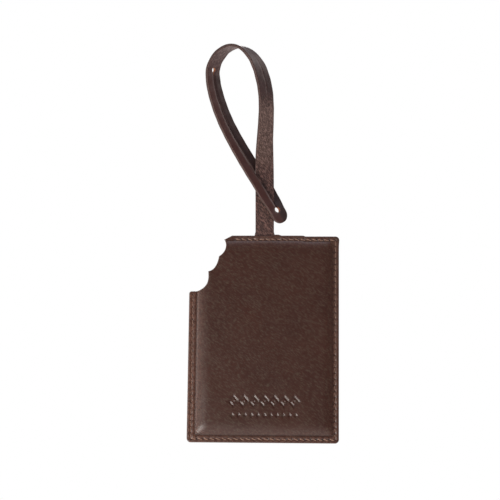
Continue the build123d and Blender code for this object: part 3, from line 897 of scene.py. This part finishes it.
class StrapRoute:
    """Where the strap runs: its middle line, its turn and how far its two halves stand off."""

    def __init__(self):
        table = np.array([(*point, 0.0, 0.0) for point in LOOP_ROUTE] + SLIT_ROUTE, float)
        steps = np.hypot(np.diff(table[:, 0]), np.diff(table[:, 1]))
        rough = np.concatenate([[0], np.cumsum(steps)])
        fine = np.linspace(0, rough[-1], 1600)
        x, z, *others = (smooth_through(column, rough, fine) for column in table.T)
        self.length = np.concatenate([[0], np.cumsum(np.hypot(np.diff(x), np.diff(z)))])
        self.total = self.length[-1]
        self.slit_start = float(np.interp(rough[len(LOOP_ROUTE)], fine, self.length))
        self.columns = [x, z, np.gradient(x, self.length), np.gradient(z, self.length), *others]

    def read(self, u):
        """Middle, direction, turn and offsets at a place along the strap."""
        held = np.clip(u, 0, self.total)
        x, z, ax, az, turn, left, right = (np.interp(held, self.length, c) for c in self.columns)
        size = np.hypot(ax, az)
        ax, az = ax / size, az / size
        return x + (u - held) * ax, z + (u - held) * az, ax, az, np.radians(turn), left, right


ROUTE = StrapRoute()
# Places along the strap, in millimetres from its sewn end: the slit's two holes, and where the nap ends
# and its stretch of painted light and the scored line begin and end. The score lies SCORE_V right of the
# middle.
SLIT_TOP = ROUTE.slit_start
SLIT_FOOT = ROUTE.total
NAP_END = TAIL_DEPTH + 75.5
NAP_LIT_STRETCH = (TAIL_DEPTH + 30, TAIL_DEPTH + 74)
SCORE = (TAIL_DEPTH + 26, TAIL_DEPTH + 104)
SCORE_V = 0.3
SCORE_REACH = 0.24


def strap_half_width(u):
    """Half the strap's width, with a slight flare where it enters the tag."""
    flare = 0.55 * soft_step(1 - np.abs(u - TAIL_DEPTH - 0.2) / 2.6)
    return STRAP_WIDTH / 2 + flare


def strap_outline(step=0.7):
    """The strap's flat pattern, u along it and v across it: straight sides and a round tip."""
    end = SLIT_FOOT + TIP_STRAIGHT
    along = np.arange(0, end, step)
    right = [(u, -strap_half_width(u)) for u in along]
    tip = arc((end, 0), STRAP_WIDTH / 2, -90, 90, 22)
    left = [(u, strap_half_width(u)) for u in along[::-1]]
    left.insert(0, (end, STRAP_WIDTH / 2))
    return right + tip + left


def slit_outline(step=0.7):
    """The slit with the punched hole at each end, clockwise."""
    half = SLIT_WIDTH / 2
    top_cut = np.degrees(np.arcsin(half / TOP_HOLE_RADIUS))
    foot_cut = np.degrees(np.arcsin(half / FOOT_HOLE_RADIUS))
    points = arc((SLIT_TOP, 0), TOP_HOLE_RADIUS, -top_cut, -360 + top_cut, 20)
    top_x = SLIT_TOP + TOP_HOLE_RADIUS * np.cos(np.radians(top_cut))
    foot_x = SLIT_FOOT - FOOT_HOLE_RADIUS * np.cos(np.radians(foot_cut))
    points += line((top_x, half), (foot_x, half), step)
    points += arc((SLIT_FOOT, 0), FOOT_HOLE_RADIUS, 180 - foot_cut, -180 + foot_cut, 24)
    points += line((foot_x, -half), (top_x, -half), step)
    return points


def shape_strap(flat, height):
    """Bends flat strap points into place. height is the way out of the middle, in millimetres."""
    u, v = flat[:, 0], flat[:, 1]
    x, z, ax, az, turn, left, right = ROUTE.read(u)
    across = np.stack([az * np.cos(turn), np.sin(turn), -ax * np.cos(turn)], 1)
    along = np.stack([ax, np.zeros_like(ax), az], 1)
    out = np.cross(across, along)
    # v runs from the strap's left edge, which passes in front, to its right edge, behind.
    stand = np.where(v > 0, right, left) * STRAP_LIFT * soft_step((u - SLIT_TOP + 1) / 2)
    middle = np.stack([x, stand, z], 1)
    shaped = middle + across * v[:, None] + out * height[:, None]
    return at(shaped[:, 0], shaped[:, 1], shaped[:, 2])


def strap_field():
    """Points all over the strap, closer together across it, with three close rows along its score."""
    end = SLIT_FOOT + TIP_STRAIGHT + STRAP_WIDTH / 2
    reach = STRAP_WIDTH / 2 - 0.95
    u, v = np.meshgrid(np.arange(0.4, end, 0.75), np.linspace(-reach, reach, 13))
    u[1::2] += 0.37
    first, last = TAIL_DEPTH + 20, SLIT_TOP - 4
    scored = np.meshgrid(
        np.arange(first, last, 0.5), (SCORE_V - SCORE_REACH, SCORE_V, SCORE_V + SCORE_REACH))
    off_score = (np.abs(v - SCORE_V) > 0.4) | (u > last) | (u < first)
    return np.concatenate([np.stack([u[off_score], v[off_score]], 1), np.stack(scored, 2).reshape(-1, 2)])


def make_strap():
    """The strap, cut flat with its slit and bent into its loop. The flesh side faces forwards below."""
    flat, triangles, gap = cut_pattern(
        strap_outline(), [slit_outline()], [strap_field()], rims=(0.09, 0.2, 0.4))
    u, v = flat.T
    inside_tag = soft_step((TAIL_DEPTH + 0.6 - u) / 1.4)
    half = STRAP_THICKNESS / 2 + (TAIL_THICKNESS / 2 - STRAP_THICKNESS / 2) * inside_tag
    score = soft_step(1 - np.abs(v - SCORE_V) / SCORE_REACH) * soft_step((u - SCORE[0]) / 6)
    score *= soft_step((SCORE[1] - u) / 8)
    ripple = 0.05 * np.sin(u * 0.9 + 0.7 * np.sin(v)) * soft_step((u - 60) / 30)
    height = np.maximum(half - rolled_edge(gap, 0.28, 0.16), 0.2)
    flesh_side = shape_strap(flat, height - 0.07 * score + ripple)
    grain_side = shape_strap(flat, -height + ripple)
    worn_and_lit_edges = 0.4 * soft_step(1 - gap / 0.3) * soft_step((u - 40) / 20)
    # The slit's own edges are less pale near its top: less wear and less painted highlight there.
    worn_and_lit_edges *= np.where(np.abs(v) < 2, 0.15 + 0.6 * soft_step((u - SLIT_TOP - 12) / 12), 1.0)
    near_hole = near(flat, np.array([(SLIT_TOP, 0.0), (SLIT_FOOT, 0.0)]), 2.4)
    wall = np.where((gap < 1e-3) & (near_hole > 0.05) & (np.abs(v) < 1.6), 3, 2)
    painting = {
        "nap": soft_step((NAP_END - u) / 11),
        # Painted light on the nap's middle stretch.
        "nap_painted_light": 0.5 * soft_step((u - NAP_LIT_STRETCH[0]) / 14) * soft_step((NAP_LIT_STRETCH[1] - u) / 12),
        "score_line": 0.7 * score,
        # Painted shade on the slit stretch's right half.
        "right_half_painted_shade": soft_step(v / 0.3 + 0.5) * soft_step((u - SLIT_TOP + 6) / 12),
        # Painted highlight on the inside of the bend.
        "bend_painted_light": soft_step((u - SLIT_TOP + 30) / 8) * soft_step((SLIT_TOP + 6 - u) / 12),
        # Paler along the cut edges and the slit: partly wear, partly a painted highlight.
        "edge_wear_and_highlight": worn_and_lit_edges,
    }
    piece = leather_piece(
        "slit_strap_leather", triangles, grain_side, flesh_side,
        (STRAP_GRAIN, STRAP_FLESH, CUT_EDGE, RAW_CORE), painting, wall)
    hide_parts("strap_loop", "strap_tail")
    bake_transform(piece)


# --------------------------------------
# Stitches, laid along their seams by a node tree
# --------------------------------------
def stitch_tree():
    """Geometry nodes: lays one stitch at each step along a seam line, leaning a little."""
    tree = bpy.data.node_groups.new("lay_stitches", "GeometryNodeTree")
    face = tree.interface
    face.new_socket("Geometry", in_out="INPUT", socket_type="NodeSocketGeometry")
    sizes = {"Pitch": STITCH_PITCH, "Stitch Length": STITCH_LENGTH, "Thread Width": THREAD_WIDTH,
             "Rise": 0.2, "Unevenness": 7.0}
    for name, value in sizes.items():
        face.new_socket(name, in_out="INPUT", socket_type="NodeSocketFloat").default_value = value
    face.new_socket("Outward", in_out="INPUT", socket_type="NodeSocketVector").default_value = (0, -1, 0)
    face.new_socket("Thread", in_out="INPUT", socket_type="NodeSocketMaterial")
    face.new_socket("Geometry", in_out="OUTPUT", socket_type="NodeSocketGeometry")
    given = add(tree, "NodeGroupInput").node.outputs
    # Metres from the sizes in millimetres, each with its share.
    pitch, half, half_back, radius, crest, sink = (
        add(tree, MATH, (given[key], share * MM), operation="MULTIPLY") for key, share in (
            ("Pitch", 1.0), ("Stitch Length", 0.5), ("Stitch Length", -0.5), ("Thread Width", 0.5),
            ("Rise", 1.6), ("Rise", -0.9)))
    seam = add(tree, "GeometryNodeMeshToCurve", {"Mesh": given["Geometry"]})
    steps = add(tree, MATH, (add(tree, "GeometryNodeSplineLength", out="Length"), pitch), operation="DIVIDE")
    count = add(tree, MATH, (add(tree, MATH, (steps,), operation="ROUND"), 1.0), operation="ADD")
    points = add(tree, "GeometryNodeResampleCurve", {"Curve": seam, "Count": count}, mode="COUNT")
    start, middle, end = (
        add(tree, "ShaderNodeCombineXYZ", place)
        for place in ((half_back, 0.0, sink), (0.0, 0.0, crest), (half, 0.0, sink)))
    body = add(tree, "GeometryNodeCurveQuadraticBezier", {
        "Resolution": 6, "Start": start, "Middle": middle, "End": end})
    ring = add(tree, "GeometryNodeCurvePrimitiveCircle", {"Resolution": 6, "Radius": radius})
    stitch = add(tree, "GeometryNodeCurveToMesh", {
        "Curve": body, "Profile Curve": ring, "Fill Caps": True})
    tangent = add(tree, "GeometryNodeInputTangent")
    along = add(tree, "FunctionNodeAlignRotationToVector", {"Vector": tangent}, axis="X")
    facing = add(tree, "FunctionNodeAlignRotationToVector", {"Rotation": along, "Vector": given["Outward"]},
                 axis="Z", pivot_axis="X")
    chance = add(tree, "FunctionNodeRandomValue", {2: -1.0, 3: 1.0, "Seed": SEED}, 1, data_type="FLOAT")
    uneven = add(tree, MATH, (given["Unevenness"], chance), operation="MULTIPLY")
    lean, girth = (
        add(tree, "GeometryNodeInputNamedAttribute", {"Name": key}, data_type="FLOAT")
        for key in ("lean", "girth"))
    lean = add(tree, MATH, (add(tree, MATH, (lean, uneven), operation="ADD"),), operation="RADIANS")
    lean_turn = add(tree, "FunctionNodeEulerToRotation", (
        add(tree, "ShaderNodeCombineXYZ", (0.0, 0.0, lean)),))
    turned = add(tree, "FunctionNodeRotateRotation", {"Rotation": facing, "Rotate By": lean_turn},
                 rotation_space="LOCAL")
    laid = add(tree, "GeometryNodeInstanceOnPoints", {
        "Points": points, "Instance": stitch, "Rotation": turned,
        "Scale": add(tree, "ShaderNodeCombineXYZ", (1.0, girth, girth))})
    smooth = add(tree, "GeometryNodeSetShadeSmooth", (add(tree, "GeometryNodeRealizeInstances", (laid,)),))
    dressed = add(tree, "GeometryNodeSetMaterial", {0: smooth, "Material": given["Thread"]})
    add(tree, "NodeGroupOutput", (dressed,))
    return tree


STITCHES = stitch_tree()


def make_stitching(name, runs, depths, outward, cad_node, leans=None, girths=None):
    """Turns runs of stitches into one plain mesh. For each run, depths gives its y, leans how far its
    stitches slant in degrees, and girths how thick they look."""
    path = bpy.data.meshes.new(name + "_path")
    points, edges = [], []
    for (middles, _), y in zip(runs, depths):
        first = len(points)
        line_points = np.array([middles[0], (middles[0] + middles[-1]) / 2, middles[-1]])
        points += [tuple(p) for p in on_tag(line_points[:, 0], np.full(3, y), line_points[:, 1])]
        edges += [(first, first + 1), (first + 1, first + 2)]
    path.from_pydata(points, edges, [])
    paint(path, "lean", np.repeat(leans or [8.0] * len(runs), 3))
    paint(path, "girth", np.repeat(girths or [1.0] * len(runs), 3))
    seam = placed(name + "_seam", path)
    modifier = seam.modifiers.new("stitches", "NODES")
    modifier.node_group = STITCHES
    sockets = {item.name: item.identifier for item in STITCHES.interface.items_tree if item.in_out == "INPUT"}
    modifier[sockets["Outward"]] = outward
    modifier[sockets["Thread"]] = THREAD
    bpy.context.view_layer.update()
    mesh = bpy.data.meshes.new_from_object(seam.evaluated_get(bpy.context.evaluated_depsgraph_get()))
    bpy.data.objects.remove(seam)
    finished(placed(name, mesh), "tag", cad_node)


# --------------------------------------
# Assembly
# --------------------------------------
def dress(node_name, material):
    """Gives a kept CAD node its material."""
    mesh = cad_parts[node_name].data
    mesh.materials.clear()
    mesh.materials.append(material)


make_front_cover()
make_back_cover()
make_pocket_panel()
make_padding()
make_strap()
make_stitching("border_stitches_front", BORDER_RUNS, [BORDER_Y - THREAD_SINK] * 4, (0, -1, 0),
               "edge_stitching_front", leans=[-16, 2, -20, 5], girths=[1.0, 0.58, 1.15, 0.6])
# Behind, each border run lies on the pocket leather, or on the back leather beyond the pocket's mouth.
BACK_RUNS = seam_runs(
    (LEFT + SEAM_START_X, TOP), (MOUTH_X, TOP), (RIGHT, TOP), (RIGHT, FOOT), (MOUTH_X, FOOT),
    (LEFT, FOOT), (LEFT, SEAM_END_Z))[0]
ON_POCKET, ON_BACK = POCKET_Y - POCKET_STEP, BACK_Y - 0.22
make_stitching("border_stitches_back", BACK_RUNS,
               [ON_POCKET, ON_BACK, ON_BACK, ON_BACK, ON_POCKET, ON_POCKET], (0, 1, 0),
               "edge_stitching_back")
make_stitching("window_stitches", WINDOW_RUNS, [POCKET_Y - THREAD_SINK] * 4, (0, 1, 0),
               "window_stitching")
dress("window_film", soft_pvc_film())
dress("address_card", ruled_card())
dress("stiffener_board", BOARD)


# --------------------------------------
# Floor, light and camera
# --------------------------------------
def make_floor():
    """A plain pale floor, round, well below the hanging tag."""
    radius, level, sides = 0.82, CAD_BOX[0].z - 0.42, 96
    rim = [(radius * cos(2 * pi * i / sides), radius * sin(2 * pi * i / sides), level) for i in range(sides)]
    mesh = bpy.data.meshes.new("floor")
    mesh.from_pydata(rim, [], [tuple(range(sides))])
    material, tree, shader = new_material("pale_floor")
    feed(tree, shader, {"Base Color": "#F6F5F3", "Roughness": 0.85, "Emission Color": "#FFFFFF",
                        "Emission Strength": 0.25})
    mesh.materials.append(material)
    placed("floor", mesh)


def make_light(name, place, target, size, power, colour="#FFFFFF"):
    """A soft rectangular studio light."""
    light = bpy.data.lights.new(name, "AREA")
    light.shape = "RECTANGLE"
    light.size, light.size_y = size
    light.energy = power
    light.color = srgb(colour)[:3]
    lamp = placed(name, light)
    lamp.location = place
    lamp.rotation_euler = (Vector(target) - Vector(place)).to_track_quat("-Z", "Y").to_euler()


def make_world():
    """A pale studio: white to the eye. The light that it gives is brighter from the backdrop behind the
    tag and dim from the camera's side, which keeps the dark leather from looking misty."""
    world = bpy.data.worlds.new("studio")
    bpy.context.scene.world = world
    world.use_nodes = True
    tree = world.node_tree
    tree.nodes.clear()
    seen = add(tree, "ShaderNodeLightPath", out="Is Camera Ray")
    direction = add(tree, "ShaderNodeTexCoord", out="Generated")
    depth = add(tree, "ShaderNodeSeparateXYZ", (direction,), "Y")
    strength = add(tree, RANGE, (depth, -0.2, 0.5, 0.16, 0.6))
    ambient = add(tree, "ShaderNodeBackground", {"Strength": strength, "Color": "#F4F2F4"})
    backdrop = add(tree, "ShaderNodeBackground", {"Strength": 1.0, "Color": "#FFFFFF"})
    chosen = add(tree, "ShaderNodeMixShader", (seen, ambient, backdrop))
    add(tree, "ShaderNodeOutputWorld", {"Surface": chosen})


def make_camera():
    """A long lens, level with the middle of the view and square to the tag's front."""
    view_width, lens, sensor = 0.25, 135.0, 36.0
    camera = bpy.data.cameras.new("camera")
    camera.lens, camera.sensor_width = lens, sensor
    holder = placed("camera", camera)
    holder.location = ((TAG_X - 7.15) * MM, -view_width * lens / sensor, (TAG_TOP - 6.5) * MM)
    holder.rotation_euler = (radians(90), 0, 0)
    bpy.context.scene.camera = holder


make_floor()
make_world()
make_camera()
aim = Vector((TAG_X, 0.0, TAG_TOP - 45)) * MM
make_light("left_softbox", (-0.62, -0.32, -0.18), aim, (0.3, 0.6), 2.2, "#FFF9F4")
make_light("left_strip", (-0.47, -0.56, -0.17), aim, (0.14, 0.4), 0.25, "#FFF9F4")
make_light("low_left_softbox", (-0.295, -0.7, -0.46), aim, (0.14, 0.14), 2.1, "#FFF9F4")
make_light("top_softbox", (0.05, -0.42, 0.5), aim, (0.7, 0.4), 1.5, "#F4F0FF")
make_light("right_rim_softbox", (0.6, 0.3, 0.3), Vector((0.0, 0.0, -0.03)), (0.4, 0.5), 1.0, "#FFF1EC")
make_light("back_softbox", (-0.25, 0.95, 0.3), aim, (0.7, 0.7), 7.0, "#FFFAF6")

scene = bpy.context.scene
scene.view_settings.view_transform = "Standard"
scene.view_settings.look = "None"
